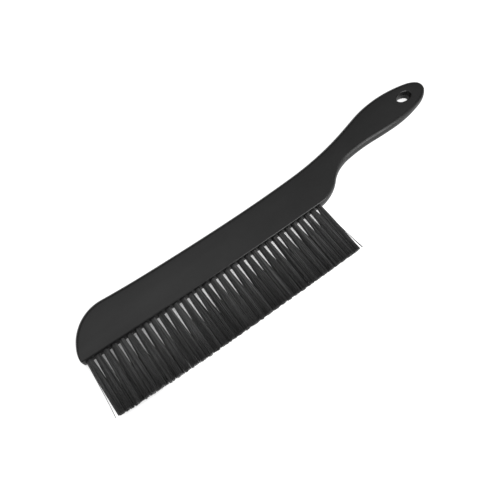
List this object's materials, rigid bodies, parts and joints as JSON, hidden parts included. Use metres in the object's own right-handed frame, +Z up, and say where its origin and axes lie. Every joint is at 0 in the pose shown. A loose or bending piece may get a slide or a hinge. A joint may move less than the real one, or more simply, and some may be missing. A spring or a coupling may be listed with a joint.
{
  "type": "bee brush",
  "caption": "Long one-row bee brush: a flat moulded block with a rounded nose and an offset handle with a hang hole, and a single row of soft bristle tufts.",
  "frame": {"origin": "under the middle of the whole brush, on the surface that it lies on", "axes": "+X from the nose to the end of the handle, +Y from the bristle tips to the back of the block, +Z up through the thickness, with the brush lying flat on its side"},
  "size_m": [0.3638, 0.1016, 0.0102],
  "materials": {
    "block_plastic": "satin moulded black plastic with a fine grain",
    "bristle_plastic": "black extruded bristle filament with a soft sheen",
    "anchor_wire": "cut flat wire"
  },
  "bodies": {
    "root": {"handle_block": "block_plastic", "tuft_01": "bristle_plastic", "tuft_02": "bristle_plastic", "tuft_03": "bristle_plastic", "tuft_04": "bristle_plastic", "tuft_05": "bristle_plastic", "tuft_06": "bristle_plastic", "tuft_07": "bristle_plastic", "tuft_08": "bristle_plastic", "tuft_09": "bristle_plastic", "tuft_10": "bristle_plastic", "tuft_11": "bristle_plastic", "tuft_12": "bristle_plastic", "tuft_13": "bristle_plastic", "tuft_14": "bristle_plastic", "tuft_15": "bristle_plastic", "tuft_16": "bristle_plastic", "tuft_17": "bristle_plastic", "tuft_18": "bristle_plastic", "tuft_19": "bristle_plastic", "tuft_20": "bristle_plastic", "tuft_21": "bristle_plastic", "tuft_22": "bristle_plastic", "tuft_23": "bristle_plastic", "tuft_24": "bristle_plastic", "tuft_25": "bristle_plastic", "tuft_26": "bristle_plastic", "tuft_27": "bristle_plastic", "tuft_28": "bristle_plastic", "tuft_29": "bristle_plastic", "tuft_30": "bristle_plastic", "tuft_31": "bristle_plastic", "tuft_32": "bristle_plastic", "tuft_33": "bristle_plastic", "tuft_anchors": "anchor_wire"}
  },
  "joints": []
}
